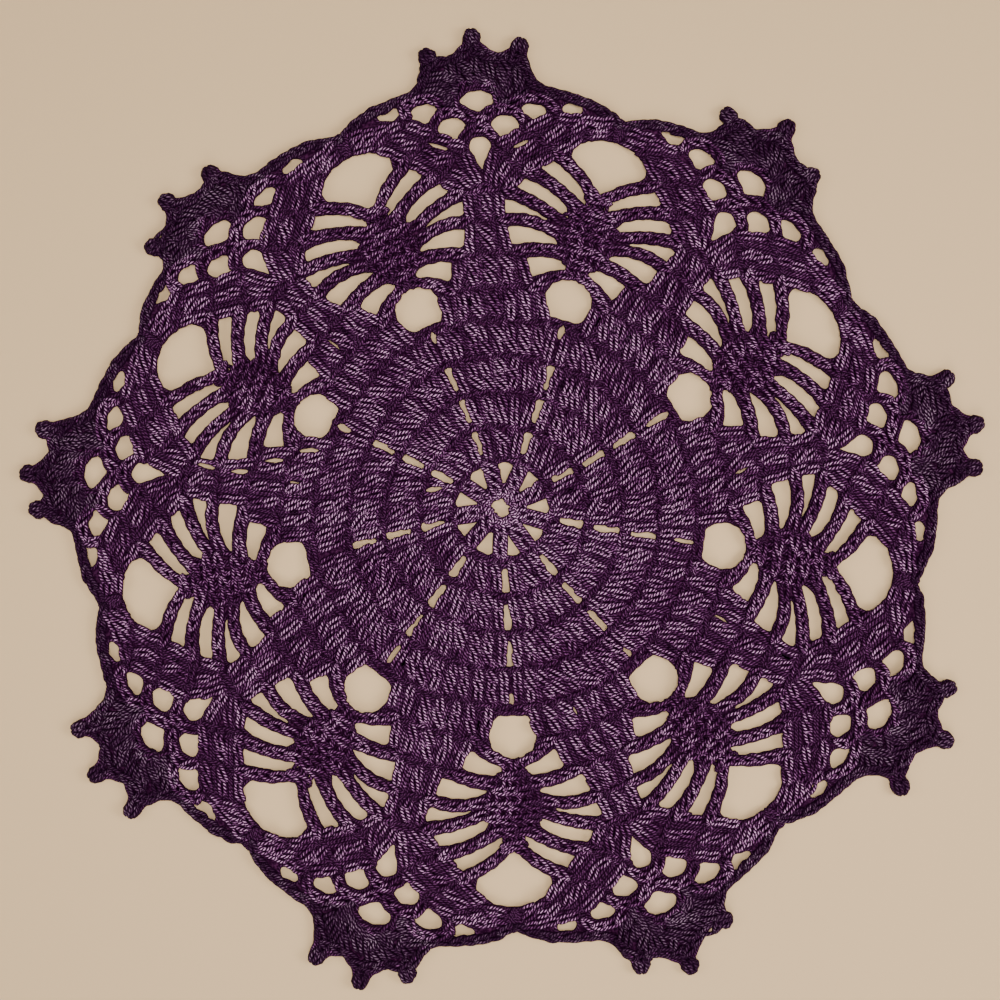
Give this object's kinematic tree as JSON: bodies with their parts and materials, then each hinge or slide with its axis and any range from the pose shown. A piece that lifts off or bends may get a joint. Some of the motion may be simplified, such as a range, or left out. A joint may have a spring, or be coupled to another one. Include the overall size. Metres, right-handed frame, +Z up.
{
  "type": "crocheted lace doily",
  "caption": "Round crocheted cotton lace doily lying flat, with a solid wedged centre, spider motifs between arms, and picot shells round its edge.",
  "frame": {"origin": "middle of the outline's box, on the underside that lies on the table", "axes": "+Z up out of the cloth, +Y up the cloth as it is seen from above, +X to its right"},
  "size_m": [0.2218, 0.2208, 0.002],
  "materials": {
    "purple_cotton": "dark purple mercerised cotton with a soft sheen along the plies"
  },
  "bodies": {
    "root": {"doily": "purple_cotton"}
  },
  "joints": []
}
